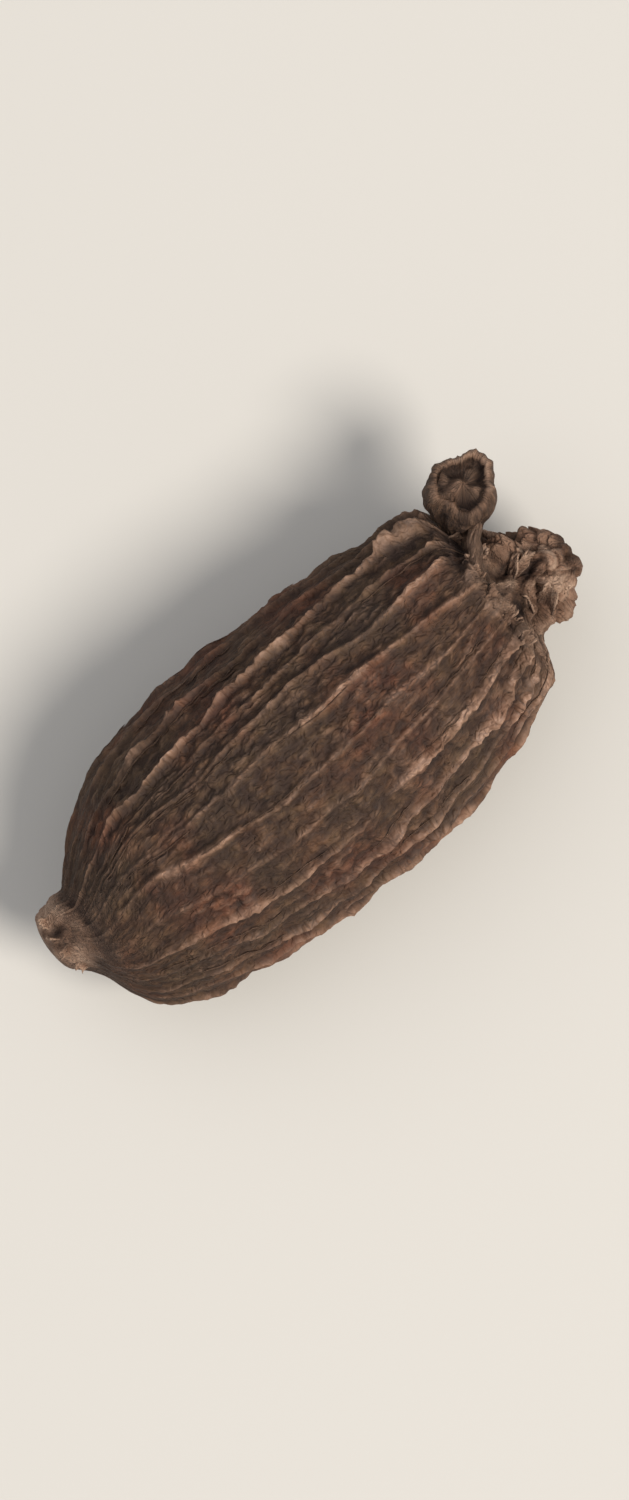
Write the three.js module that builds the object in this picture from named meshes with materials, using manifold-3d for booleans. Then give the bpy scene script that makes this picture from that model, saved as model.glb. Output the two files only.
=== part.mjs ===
// A dried black cardamom pod, lying on its side.
// Units are millimetres and +Z is up. X runs along the pod, from the blunt nose at -X to the crumpled
// crown at +X. The pod rests on a small flat spot in the plane z = 0, under the middle of the origin.

import * as THREE from "three";
import { mergeVertices } from "three/addons/utils/BufferGeometryUtils.js";
import Module from "manifold-3d";

// Driving dimensions.
const POD_LENGTH = 26; // nose tip to crown tip
const HUSK_WIDTH = 11.9; // across the rib crests at the widest place
const FLATNESS = 0.89; // thickness as a share of the width
const RIB_HEIGHT = 0.4; // crest of an average rib above the furrow beside it
const THREE_SIDED = 0.03; // how far the husk's three seed chambers push its section out
const ARCH = 0.35; // how far the two ends hang below the middle
const SEED_SWELL = 0.13; // soft bumps where seeds press on the dried husk
const CROWN_FOLD = 0.3; // how far a fold of the crumpled crown stands out or sinks in
const FOLD_LEAN = 0.7; // how far a fold moves along X, as a share of how far it stands out
const CROWN_DENT = 0.75; // depth of the hollow in the crown's upper side
const REST_DEPTH = 0.36; // how deep the flat spot is pressed into the belly

// The ribs of the upper side, from its -Y edge to its +Y edge. Each has its angle, in degrees from the
// top towards +Y, and its strength where it passes each station along X.
const RIB_STATIONS = [-9.8, -5.2, 0, 5.2, 8.9];
const UPPER_RIBS = [
  { angles: [-72, -83, -82, -79, -73], strengths: [0.7, 0.8, 0.9, 0.8, 0.9] },
  { angles: [-57, -70, -68, -65, -58], strengths: [0.7, 0.8, 1, 0.8, 1.1] },
  { angles: [-41, -55, -54, -49, -43], strengths: [0.6, 0.7, 1, 0.7, 1.3] },
  { angles: [-26, -39, -36, -32, -28], strengths: [0.9, 1.2, 0.5, 1.3, 1.5] },
  { angles: [-9, -22, -21, -18, -17], strengths: [0.4, 0.5, 0.6, 0.5, 0.5] },
  { angles: [8, -5, -6, -4, -5], strengths: [0.7, 1.2, 0.6, 1, 0.4] },
  { angles: [19, 9, 13, 12, 8], strengths: [0.4, 0.4, 0.9, 1.1, 0.9] },
  { angles: [29, 22, 27, 26, 30], strengths: [0.4, 0.4, 0.7, 0.9, 1.2] },
  { angles: [35, 30, 36, 41, 46], strengths: [0.2, 0.2, 0.5, 0.6, 0.7] },
  { angles: [41, 38, 46, 56, 62], strengths: [1.1, 1.2, 1.1, 1.2, 1.5] },
  { angles: [54, 56, 61, 70, 77], strengths: [0.6, 1.1, 0.7, 0.7, 0.9] },
  { angles: [70, 74, 77, 84, 92], strengths: [0.7, 0.8, 0.8, 0.8, 0.9] },
];
const BELLY_RIBS = 10; // evenly between the two edges of the upper side, but for a little scatter
const BELLY_SCATTER = 0.15; // as a share of their spacing
const RIB_WANDER = 1.6; // degrees that a rib strays to each side of its line
const WANDER_WAVES = [9, 4.1]; // lengths of the slow and the quick wave in a rib's line
const HEIGHT_WAVES = [7, 3.1]; // lengths of the slow and the quick wave in a rib's height
const RIB_SHARPNESS = 0.32; // crest width as a share of half the rib spacing
const CREST_STEPS = [-1, -0.42, -0.14, 0.14, 0.42]; // places across a rib, from furrow to furrow
const PRESSED_RIBS = 0.85; // share of their height that ribs lose in the middle of the belly
const PRESSED_HALF = 26; // degrees to each side of the belly's middle that this reaches

// The outline, from nose to crown. Each row gives a place along the length, the half width there, the
// sideways shift of the middle line, the strength of the ribs and the strength of the crown's folds.
// Lengths are shares of POD_LENGTH and half widths and shifts are shares of half of HUSK_WIDTH.
const OUTLINE = [
  [0, 0, 0.05, 0, 0],
  [0.002, 0.1, 0.05, 0, 0.1],
  [0.008, 0.18, 0.05, 0.1, 0.2],
  [0.022, 0.24, 0.04, 0.2, 0.2],
  [0.042, 0.31, 0, 0.3, 0.1],
  [0.062, 0.425, -0.1, 0.45, 0],
  [0.09, 0.54, -0.145, 0.6, 0],
  [0.137, 0.68, -0.12, 0.75, 0],
  [0.213, 0.83, -0.055, 0.9, 0],
  [0.348, 0.92, -0.02, 1, 0],
  [0.502, 0.94, -0.03, 1, 0],
  [0.656, 0.89, -0.01, 1, 0],
  [0.771, 0.79, 0.03, 1, 0],
  [0.835, 0.69, 0.07, 1.1, 0],
  [0.858, 0.605, 0.07, 1.2, 0.1],
  [0.87, 0.5, 0.03, 0.9, 0.3],
  [0.882, 0.415, 0.02, 0.3, 0.6],
  [0.907, 0.38, 0.02, 0, 1],
  [0.945, 0.3, -0.02, 0, 1.1],
  [0.976, 0.19, -0.05, 0, 0.8],
  [0.996, 0.11, -0.05, 0, 0.5],
  [0.986, 0.05, -0.05, 0, 0.2],
  [0.978, 0, -0.05, 0, 0],
];
// Rings of points between each row of the outline and the next.
const RINGS = [1, 1, 1, 1, 1, 2, 2, 3, 4, 5, 5, 3, 2, 1, 1, 1, 1, 3, 3, 2, 1, 1];

// The hollow in the crown's upper side: its middle along X, its half length, and its middle and half
// width in degrees from the top towards +Y.
const DENT_X = 10.7;
const DENT_HALF = 0.9;
const DENT_ANGLE = -6;
const DENT_SPREAD = 34;

// The stalk stub. It leaves the crown, curls up and ends in a round head with a cupped end. Its
// profile gives a radius and a place along the stub.
const STALK_PROFILE = [
  [0, 0],
  [0.75, 0],
  [0.8, 1.2],
  [0.7, 2.4],
  [0.82, 3],
  [1.2, 3.5],
  [1.42, 4.2],
  [1.34, 4.8],
  [1.02, 5.2],
  [0.68, 5.12],
  [0.42, 4.8],
  [0, 4.66],
];
const STALK_SIDES = 20;
const STALK_LENGTH = 5.5;
const HEAD_LUMPS = 0.09; // how far the head's lumps stand out, as a share of its radius
const HEAD_STARTS = [0.5, 0.75]; // shares of the stub's length where its lumps begin and are full
// Its middle line: the points that bend a Bezier curve, with heights over the pod's middle line.
const STALK_LINE = [
  [8.7, -0.2, 0.3],
  [9.7, 3, -0.1],
  [10.8, 4, 0.6],
  [11.3, 4.5, 2.9],
];

const SAME_POINT = 1e-4; // points closer than this are one point
const HALF_WIDTH = HUSK_WIDTH / 2;
const HALF_LENGTH = POD_LENGTH / 2;
const TURN = 2 * Math.PI;
const radians = (degrees) => (degrees * Math.PI) / 180;

// A number between 0 and 1 that depends on the seed alone.
function dice(seed) {
  const scrambled = Math.sin(seed * 12.9898 + 4.1414) * 43758.5453;
  return scrambled - Math.floor(scrambled);
}

// A slow wave along the pod. Each seed gives it another start.
function wave(x, length, seed) {
  return Math.sin(TURN * (x / length + dice(seed)));
}

// A smooth curve through a list of values, where place 0 is the first value and 1 the next.
function smooth(values, place) {
  const last = values.length - 1;
  const row = Math.min(Math.floor(place), last - 1);
  const t = place - row;
  const value = (index) => values[Math.max(0, Math.min(last, index))];
  const [p0, p1, p2, p3] = [value(row - 1), value(row), value(row + 1), value(row + 2)];
  const v0 = (p2 - p0) / 2;
  const v1 = (p3 - p1) / 2;
  const cubic = 2 * p1 - 2 * p2 + v0 + v1;
  const square = -3 * p1 + 3 * p2 - 2 * v0 - v1;
  return cubic * t ** 3 + square * t ** 2 + v0 * t + p1;
}

const COLUMNS = OUTLINE[0].map((_, column) => OUTLINE.map((row) => row[column]));
const along = (column, place) => smooth(COLUMNS[column], place);

// The place between the rib stations that x has.
function stationPlace(x) {
  const last = RIB_STATIONS.length - 1;
  const next = RIB_STATIONS.findIndex((station) => station > x);
  if (next === 0) return 0;
  if (next < 0) return last;
  return next - 1 + (x - RIB_STATIONS[next - 1]) / (RIB_STATIONS[next] - RIB_STATIONS[next - 1]);
}

const RIB_COUNT = UPPER_RIBS.length + BELLY_RIBS;

// A rib's angle where it passes x. The last rib is followed by the first, one turn on.
function ribAt(index, x) {
  const turns = Math.floor(index / RIB_COUNT);
  const rib = index - turns * RIB_COUNT;
  const place = stationPlace(x);
  const upper = (k) => smooth(UPPER_RIBS[k].angles, place);
  const [slow, quick] = WANDER_WAVES;
  const strays = RIB_WANDER * (0.6 * wave(x, slow, rib) + 0.4 * wave(x, quick, rib + 50));
  if (rib < UPPER_RIBS.length) return upper(rib) + strays + 360 * turns;
  const edge = upper(UPPER_RIBS.length - 1);
  const step = (upper(0) + 360 - edge) / (BELLY_RIBS + 1);
  const order = rib - UPPER_RIBS.length + 1 + BELLY_SCATTER * (2 * dice(rib + 31) - 1);
  return edge + step * order + strays + 360 * turns;
}

// A rib's strength where it passes x: ribs differ, and none is equally high all along.
function ribStrength(rib, x) {
  const isUpper = rib < UPPER_RIBS.length;
  const own = isUpper ? smooth(UPPER_RIBS[rib].strengths, stationPlace(x)) : 0.55 + 0.75 * dice(rib + 90);
  const [slow, quick] = HEIGHT_WAVES;
  return own * (0.9 + 0.2 * wave(x, slow, rib + 120) + 0.2 * wave(x, quick, rib + 150));
}

// What is left of the ribs' height at an angle: they are pressed down where the pod lies on them.
function unpressed(angle) {
  const fromBelly = Math.abs(180 - (((angle % 360) + 360) % 360));
  return 1 - PRESSED_RIBS * Math.exp(-((fromBelly / PRESSED_HALF) ** 2));
}

// The crumpled crown's folds, from about -1 in a fold to 1 on a lobe: three sets of waves that run round
// and along it and lean against each other.
function crumple(angle, x) {
  return (
    0.6 * Math.sin(4 * angle + 0.9 * x) * Math.cos(1.9 * x - angle) +
    0.45 * Math.cos(7 * angle - 1.3 * x + 2) +
    0.3 * Math.sin(3 * angle + 2.2 * x + 1)
  );
}

// The hollow in the crown, from 0 outside it to 1 in its middle.
function dent(degrees, x) {
  const across = (((degrees - DENT_ANGLE + 180) % 360) - 180) / DENT_SPREAD;
  return Math.exp(-(((x - DENT_X) / DENT_HALF) ** 2) - across ** 2);
}

// Soft bumps over the seeds, from about -1 to 1, a few millimetres apart.
function swell(angle, x) {
  return Math.sin(1.9 * x + 2 * angle) * Math.cos(1.1 * x - 3 * angle);
}

// A point of the husk's surface at a place along the outline, across a rib from furrow to furrow. The
// relief fades where the husk is thinner than a millimetre, so that it closes at both tips.
function huskPoint(place, rib, across) {
  const x = (along(0, place) - 0.5) * POD_LENGTH;
  const middle = ribAt(rib, x);
  const neighbour = ribAt(rib + Math.sign(across), x);
  const degrees = middle + (Math.abs(across) * (neighbour - middle)) / 2;
  const angle = radians(degrees);
  const radius = Math.max(0, along(1, place) * HALF_WIDTH);
  const crest = Math.exp(-((across / RIB_SHARPNESS) ** 2));
  const ribs = RIB_HEIGHT * along(3, place) * ribStrength(rib, x) * crest * unpressed(degrees);
  const bumps = SEED_SWELL * Math.min(1, along(3, place)) * swell(angle, x);
  const folds = CROWN_FOLD * along(4, place) * crumple(angle, x);
  const hollow = CROWN_DENT * Math.min(1, along(4, place)) * dent(degrees, x);
  const section = 1 + THREE_SIDED * Math.cos(3 * angle);
  const fade = Math.min(1, radius);
  const reach = radius * section + fade * (ribs + bumps + folds - hollow);
  return new THREE.Vector3(
    x + FOLD_LEAN * folds * fade,
    along(2, place) * HALF_WIDTH + reach * Math.sin(angle),
    FLATNESS * reach * Math.cos(angle) - ARCH * (x / HALF_LENGTH) ** 2,
  );
}

// Every ring's place along the outline, from the nose tip to the crown.
function ringPlaces() {
  const places = RINGS.flatMap((count, row) => {
    return Array.from({ length: count }, (_, k) => row + k / count);
  });
  return [...places, OUTLINE.length - 1];
}

// The husk and crown: a sphere whose poles become the nose tip and the bottom of the crown's hollow.
function huskGeometry() {
  const places = ringPlaces();
  const columns = RIB_COUNT * CREST_STEPS.length;
  const sphere = new THREE.SphereGeometry(1, columns, places.length - 1);
  const position = sphere.getAttribute("position");
  places.forEach((place, ring) => {
    const isPole = ring === 0 || ring === places.length - 1;
    for (let column = 0; column <= columns; column += 1) {
      const turned = isPole ? 0 : column % columns;
      const rib = Math.floor(turned / CREST_STEPS.length);
      const point = huskPoint(place, rib, CREST_STEPS[turned % CREST_STEPS.length]);
      position.setXYZ(ring * (columns + 1) + column, point.x, point.y, point.z);
    }
  });
  return sphere;
}

// The stalk stub: a turned profile whose axis is bent along its middle line.
function stalkGeometry() {
  const profile = STALK_PROFILE.map(([radius, height]) => new THREE.Vector2(radius, height));
  const stub = new THREE.LatheGeometry(profile, STALK_SIDES);
  const line = new THREE.CubicBezierCurve3(...STALK_LINE.map((point) => new THREE.Vector3(...point)));
  const position = stub.getAttribute("position");
  const sideways = new THREE.Vector3(1, 0, 0);
  for (let i = 0; i < position.count; i += 1) {
    const share = position.getY(i) / STALK_LENGTH;
    const tangent = line.getTangentAt(share);
    const over = new THREE.Vector3().crossVectors(sideways, tangent).normalize();
    const side = new THREE.Vector3().crossVectors(tangent, over);
    const turn = Math.atan2(position.getZ(i), position.getX(i));
    const isHead = THREE.MathUtils.smoothstep(share, ...HEAD_STARTS);
    const lumpy = 1 + HEAD_LUMPS * isHead * (Math.cos(3 * turn + 1) + 0.6 * Math.cos(5 * turn + 2));
    const point = line.getPointAt(share);
    point.addScaledVector(side, lumpy * position.getX(i));
    point.addScaledVector(over, lumpy * position.getZ(i));
    position.setXYZ(i, point.x, point.y, point.z);
  }
  return stub;
}

const wasm = await Module();
wasm.setup();

// A closed mesh as a solid that can be joined.
function solidFrom(geometry) {
  const bare = geometry.clone();
  bare.deleteAttribute("normal");
  bare.deleteAttribute("uv");
  const merged = mergeVertices(bare, SAME_POINT);
  const mesh = new wasm.Mesh({
    numProp: 3,
    vertProperties: merged.getAttribute("position").array,
    triVerts: new Uint32Array(merged.index.array),
  });
  return new wasm.Manifold(mesh);
}

// A solid as a mesh geometry again.
function geometryFrom(solid) {
  const mesh = solid.getMesh();
  const geometry = new THREE.BufferGeometry();
  geometry.setAttribute("position", new THREE.BufferAttribute(mesh.vertProperties, 3));
  geometry.setIndex(new THREE.BufferAttribute(mesh.triVerts, 1));
  return geometry;
}

// Lifts the pod to the plane z = 0 and presses what would reach below it flat.
function restOnPlane(geometry) {
  geometry.computeBoundingBox();
  const { min, max } = geometry.boundingBox;
  geometry.translate(-(min.x + max.x) / 2, -(min.y + max.y) / 2, -min.z - REST_DEPTH);
  const position = geometry.getAttribute("position");
  for (let i = 0; i < position.count; i += 1) {
    position.setZ(i, Math.max(0, position.getZ(i)));
  }
  return geometry;
}

const driedHusk = new THREE.MeshStandardMaterial({ color: 0x574438, roughness: 0.78, metalness: 0 });
const grown = solidFrom(huskGeometry()).add(solidFrom(stalkGeometry()));
const pod = new THREE.Mesh(restOnPlane(geometryFrom(grown)), driedHusk);
pod.name = "pod";

const whole = new THREE.Group();
whole.add(pod);

export default whole;
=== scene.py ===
# %% [markdown]
# # A dried black cardamom pod
# The pod is one ribbed husk, about 26 mm long, with a blunt tan nose at one end and the crumpled
# remains of its flower at the other. A short curled stub of stalk stands beside that crown.
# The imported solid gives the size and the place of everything, so it is loaded first and measured.

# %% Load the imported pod
import math
import bmesh
import bpy
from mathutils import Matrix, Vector, noise
from mathutils.bvhtree import BVHTree


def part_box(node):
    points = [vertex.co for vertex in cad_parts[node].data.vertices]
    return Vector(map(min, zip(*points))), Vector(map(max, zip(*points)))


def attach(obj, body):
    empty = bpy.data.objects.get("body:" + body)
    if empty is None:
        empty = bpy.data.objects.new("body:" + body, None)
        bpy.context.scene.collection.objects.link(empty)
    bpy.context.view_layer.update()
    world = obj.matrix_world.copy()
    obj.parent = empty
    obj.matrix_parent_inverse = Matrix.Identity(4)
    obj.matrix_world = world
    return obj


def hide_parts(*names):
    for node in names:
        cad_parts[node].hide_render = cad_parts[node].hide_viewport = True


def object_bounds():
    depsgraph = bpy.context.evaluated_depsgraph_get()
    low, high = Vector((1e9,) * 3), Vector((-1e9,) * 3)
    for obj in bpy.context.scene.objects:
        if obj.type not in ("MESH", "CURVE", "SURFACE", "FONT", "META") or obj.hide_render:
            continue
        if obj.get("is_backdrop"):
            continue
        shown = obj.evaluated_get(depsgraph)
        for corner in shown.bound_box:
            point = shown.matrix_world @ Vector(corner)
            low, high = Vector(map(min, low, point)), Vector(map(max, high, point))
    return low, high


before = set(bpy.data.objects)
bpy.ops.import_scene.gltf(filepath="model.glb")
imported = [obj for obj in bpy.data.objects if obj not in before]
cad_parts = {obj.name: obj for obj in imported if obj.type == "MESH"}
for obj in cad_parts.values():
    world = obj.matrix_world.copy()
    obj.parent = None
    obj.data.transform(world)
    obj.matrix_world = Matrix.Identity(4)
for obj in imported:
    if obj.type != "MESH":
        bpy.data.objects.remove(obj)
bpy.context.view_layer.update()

MM = 0.001
NOISE_SEED = 7  # without it, noise vectors follow the clock and differ from run to run
noise.seed_set(NOISE_SEED)
lowest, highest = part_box("pod")
print("solid from", [round(v / MM, 2) for v in lowest], "to", [round(v / MM, 2) for v in highest], "mm")

# %% [markdown]
# ## The camera
# The pod lies on its side and the lens looks straight down on it, so the crown points to the
# upper right of the picture. A long lens far away keeps the two ends at the same scale, as they are
# in a photograph of something so small.

# %% Camera over the pod
VIEW_TURN = 39  # degrees from the picture's level line up to the pod's length
FIELD_TALL = 0.0590  # metres from the top to the bottom of the picture, level with the pod's middle
LENS = 300
SENSOR = 36
POD_MIDDLE = (0.0001, 0.0001, 0.005)

eye = bpy.data.cameras.new("eye")
eye.lens = LENS
eye.sensor_width = SENSOR
camera = bpy.data.objects.new("eye", eye)
bpy.context.collection.objects.link(camera)
camera.location = (POD_MIDDLE[0], POD_MIDDLE[1], POD_MIDDLE[2] + FIELD_TALL * LENS / SENSOR)
camera.rotation_euler = (0, 0, -math.radians(VIEW_TURN))
bpy.context.scene.camera = camera
print("camera height", round(camera.location.z, 3), "m")

# %% [markdown]
# ## Colour and node helpers
# Colours are given as hex values, but the shader works in linear light, so one function
# turns them over. One small function adds a node, sets it and links what feeds it.


# %% Helpers for colours and nodes
def linear(hex_code, alpha=1.0):
    shares = [int(hex_code[i:i + 2], 16) / 255 for i in (1, 3, 5)]
    turned = [c / 12.92 if c <= 0.04045 else ((c + 0.055) / 1.055) ** 2.4 for c in shares]
    return (*turned, alpha)


def add(tree, kind, settings=None, inputs=None):
    made = tree.nodes.new(kind)
    for name, value in (settings or {}).items():
        if name == "stops":
            ramp = made.color_ramp
            while len(ramp.elements) < len(value):
                ramp.elements.new(1)
            for element, (place, colour) in zip(ramp.elements, value):
                element.position = place
                element.color = linear(colour)
        else:
            setattr(made, name, value)
    for name, value in (inputs or {}).items():
        if isinstance(value, bpy.types.NodeSocket):
            tree.links.new(value, made.inputs[name])
        else:
            made.inputs[name].default_value = value
    return made


print("husk brown in linear light", [round(c, 3) for c in linear("#574438")])

# %% [markdown]
# ## Floor and light
# A plain pale sheet under plain soft light. The key light stands to the lower right of the picture
# and rakes over the ribs. A wider, weaker fill at the upper left keeps the grooves readable. Each
# row below gives a light's way from the pod (to the picture's right, up, and above), then its width,
# power and colour.

# %% Floor, key and fill
FLOOR_HALF = 4.0
sheet_mesh = bmesh.new()
bmesh.ops.create_grid(sheet_mesh, x_segments=1, y_segments=1, size=FLOOR_HALF)
floor_data = bpy.data.meshes.new("floor")
sheet_mesh.to_mesh(floor_data)
sheet_mesh.free()
floor = bpy.data.objects.new("floor", floor_data)
bpy.context.collection.objects.link(floor)
floor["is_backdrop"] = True

paper = bpy.data.materials.new("matt card")
paper.use_nodes = True
shader = paper.node_tree.nodes["Principled BSDF"]
shader.inputs["Base Color"].default_value = linear("#C6C2BB")
shader.inputs["Roughness"].default_value = 0.9
floor_data.materials.append(paper)

world = bpy.data.worlds.new("room")
bpy.context.scene.world = world
world.use_nodes = True
sky = world.node_tree.nodes["Background"]
sky.inputs["Color"].default_value = linear("#E9EBEE")
sky.inputs["Strength"].default_value = 0.46
bpy.context.scene.view_settings.view_transform = "Standard"

picture_right = Vector((math.cos(math.radians(VIEW_TURN)), -math.sin(math.radians(VIEW_TURN)), 0))
picture_up = Vector((math.sin(math.radians(VIEW_TURN)), math.cos(math.radians(VIEW_TURN)), 0))
LIGHT_DISTANCE = 0.9
LIGHTS = [
    ("key", 0.9, -0.45, 1.35, 0.41, 8.9, "#FFFAF3"),
    ("fill", -0.6, 0.4, 1.2, 1.03, 2.8, "#F6F8FF"),
]
for name, right, up, above, size, power, colour in LIGHTS:
    lamp = bpy.data.lights.new(name, "AREA")
    lamp.shape = "DISK"
    lamp.size = size
    lamp.energy = power
    lamp.color = linear(colour)[:3]
    holder = bpy.data.objects.new(name, lamp)
    bpy.context.collection.objects.link(holder)
    place = picture_right * right + picture_up * up + Vector((0, 0, above))
    holder.location = place.normalized() * LIGHT_DISTANCE
    holder.rotation_mode = "QUATERNION"
    holder.rotation_quaternion = place.to_track_quat("Z", "Y")
    print(name, "light at", [round(v, 2) for v in holder.location])

# %% [markdown]
# ## The form of the pod
# The husk is drawn by two tables: its outline from nose to crown, and the lines that its ribs
# follow. They are the same numbers as the solid's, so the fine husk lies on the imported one. A smooth
# curve through each column of a table gives the value at any place.

# %% Outline and rib tables, in millimetres and degrees
POD_LENGTH = 26
HALF_LENGTH = POD_LENGTH / 2
HALF_WIDTH = 11.9 / 2
FLATNESS = 0.89
RIB_HEIGHT = 0.4
THREE_SIDED = 0.03
ARCH = 0.35
TO_FRAME = Vector((0.013, 0.183, 4.622))
RIB_STATIONS = [-9.8, -5.2, 0, 5.2, 8.9]
UPPER_RIBS = [
    ([-72, -83, -82, -79, -73], [0.7, 0.8, 0.9, 0.8, 0.9]),
    ([-57, -70, -68, -65, -58], [0.7, 0.8, 1, 0.8, 1.1]),
    ([-41, -55, -54, -49, -43], [0.6, 0.7, 1, 0.7, 1.3]),
    ([-26, -39, -36, -32, -28], [0.9, 1.2, 0.5, 1.3, 1.5]),
    ([-9, -22, -21, -18, -17], [0.4, 0.5, 0.6, 0.5, 0.5]),
    ([8, -5, -6, -4, -5], [0.7, 1.2, 0.6, 1, 0.4]),
    ([19, 9, 13, 12, 8], [0.4, 0.4, 0.9, 1.1, 0.9]),
    ([29, 22, 27, 26, 30], [0.4, 0.4, 0.7, 0.9, 1.2]),
    ([35, 30, 36, 41, 46], [0.2, 0.2, 0.5, 0.6, 0.7]),
    ([41, 38, 46, 56, 62], [1.1, 1.2, 1.1, 1.2, 1.5]),
    ([54, 56, 61, 70, 77], [0.6, 1.1, 0.7, 0.7, 0.9]),
    ([70, 74, 77, 84, 92], [0.7, 0.8, 0.8, 0.8, 0.9]),
]
BELLY_RIBS = 10
RIB_COUNT = len(UPPER_RIBS) + BELLY_RIBS
# Each row: place along the length, half width, sideways shift, rib strength, fold strength.
OUTLINE = [
    (0, 0, 0.05, 0, 0), (0.002, 0.1, 0.05, 0, 0.1), (0.008, 0.18, 0.05, 0.1, 0.2),
    (0.022, 0.24, 0.04, 0.2, 0.2), (0.042, 0.31, 0, 0.3, 0.1), (0.062, 0.425, -0.1, 0.45, 0),
    (0.09, 0.54, -0.145, 0.6, 0), (0.137, 0.68, -0.12, 0.75, 0), (0.213, 0.83, -0.055, 0.9, 0),
    (0.348, 0.92, -0.02, 1, 0), (0.502, 0.94, -0.03, 1, 0), (0.656, 0.89, -0.01, 1, 0),
    (0.771, 0.79, 0.03, 1, 0), (0.835, 0.69, 0.07, 1.1, 0), (0.858, 0.605, 0.07, 1.2, 0.1),
    (0.87, 0.5, 0.03, 0.9, 0.3), (0.882, 0.415, 0.02, 0.3, 0.6), (0.907, 0.38, 0.02, 0, 1),
    (0.945, 0.3, -0.02, 0, 1.1), (0.976, 0.19, -0.05, 0, 0.8), (0.996, 0.11, -0.05, 0, 0.5),
    (0.986, 0.05, -0.05, 0, 0.2), (0.978, 0, -0.05, 0, 0),
]
OUTLINE_COLUMNS = [list(column) for column in zip(*OUTLINE)]


def smooth(values, place):
    last = len(values) - 1
    row = min(int(place), last - 1)
    t = place - row
    before, here = values[max(0, row - 1)], values[row]
    there, after = values[row + 1], values[min(last, row + 2)]
    leave, arrive = (there - before) / 2, (after - here) / 2
    cubic = 2 * here - 2 * there + leave + arrive
    square = -3 * here + 3 * there - 2 * leave - arrive
    return ((cubic * t + square) * t + leave) * t + here


def dice(seed):
    scrambled = math.sin(seed * 12.9898 + 4.1414) * 43758.5453
    return scrambled - math.floor(scrambled)


def wave(x, length, seed):
    return math.sin(math.tau * (x / length + dice(seed)))


def station_place(x):
    last = len(RIB_STATIONS) - 1
    if x <= RIB_STATIONS[0]:
        return 0
    if x >= RIB_STATIONS[last]:
        return last
    row = max(i for i in range(last) if RIB_STATIONS[i] <= x)
    return row + (x - RIB_STATIONS[row]) / (RIB_STATIONS[row + 1] - RIB_STATIONS[row])


def rib_angle(index, x):
    turns, rib = divmod(index, RIB_COUNT)
    place = station_place(x)
    strays = 1.6 * (0.6 * wave(x, 9, rib) + 0.4 * wave(x, 4.1, rib + 50))
    if rib < len(UPPER_RIBS):
        return smooth(UPPER_RIBS[rib][0], place) + strays + 360 * turns
    edge = smooth(UPPER_RIBS[-1][0], place)
    step = (smooth(UPPER_RIBS[0][0], place) + 360 - edge) / (BELLY_RIBS + 1)
    order = rib - len(UPPER_RIBS) + 1 + 0.15 * (2 * dice(rib + 31) - 1)
    return edge + step * order + strays + 360 * turns


def rib_strength(index, x):
    rib = index % RIB_COUNT
    upper = rib < len(UPPER_RIBS)
    own = smooth(UPPER_RIBS[rib][1], station_place(x)) if upper else 0.55 + 0.75 * dice(rib + 90)
    return own * (0.9 + 0.2 * wave(x, 7, rib + 120) + 0.2 * wave(x, 3.1, rib + 150))


print(RIB_COUNT, "ribs; the widest row is", round(2 * HALF_WIDTH * 0.94, 2), "mm")

# %% [markdown]
# ## The skin of the husk
# The real husk dried from a fleshy fruit. It shrank on to its long fibres, which stand up as thin
# uneven ribs. Weaker fibres run along the valleys between them, and the leathery skin there is
# cracked and drawn into small cross wrinkles and pits. Each of these is a small height added by a
# formula, with noise that is stretched along the pod so that it follows the fibres.


# %% Small heights on the skin, in millimetres
def noise_at(x, y, z):
    return noise.noise(Vector((x, y, z)))


def grain(spot, along, across, seed):
    x, y, z = spot
    return noise_at(x * along + seed * 7.7, y * across + seed * 3.1, z * across - seed * 5.3)


def ridge(value, sharp):
    return max(0.0, 1 - abs(value) * sharp)


def rib_profile(across):
    return 0.24 * math.exp(-(across / 0.38) ** 2) + 0.76 * math.exp(-(across / 0.18) ** 2)


def weak_fibres(gap, x):
    """Centre and height of the weak fibres in one valley, at one place along the pod."""
    made = []
    for strand, middle in enumerate((0.26, 0.5, 0.74)):
        seed = gap * 3.7 + strand * 11.3
        centre = middle + 0.07 * wave(x, 8 + 5 * dice(seed), seed + 1) + 0.025 * wave(x, 2.3, seed + 2)
        height = max(0.0, 0.45 + 0.5 * wave(x, 5.3, seed + 3) + 0.35 * wave(x, 1.7, seed + 4))
        made.append((centre, 0.055 * height))
    return made


def wrinkles(spot):
    cross = ridge(grain(spot, 2.4, 1.2, 11), 3.4)
    net = ridge(grain(spot, 1.4, 2.0, 12), 3.6)
    return 0.065 * cross + 0.05 * net - 0.045


def pebbles(spot):
    """Leathery grain: small domes half a millimetre wide with cracks between them."""
    bent = Vector(spot) + 0.35 * noise.noise_vector(Vector(spot) * 1.1)
    first, second = noise.voronoi(Vector((bent.x * 1.35, bent.y * 2.2, bent.z * 2.2)))[0][:2]
    dome = 1 - min(1.0, first / 0.62) ** 2
    crack = max(0.0, 1 - (second - first) / 0.2)
    third = noise.voronoi(Vector((bent.x * 3.0, bent.y * 4.2, bent.z * 4.2)))[0][0]
    swollen = 0.8 + 0.7 * grain(spot, 0.5, 0.5, 31)
    return swollen * (0.13 * dome - 0.07 * crack) + 0.05 * (0.5 - third)


print("rib heights across a half gap", [round(rib_profile(a / 5), 2) for a in range(6)])
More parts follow.
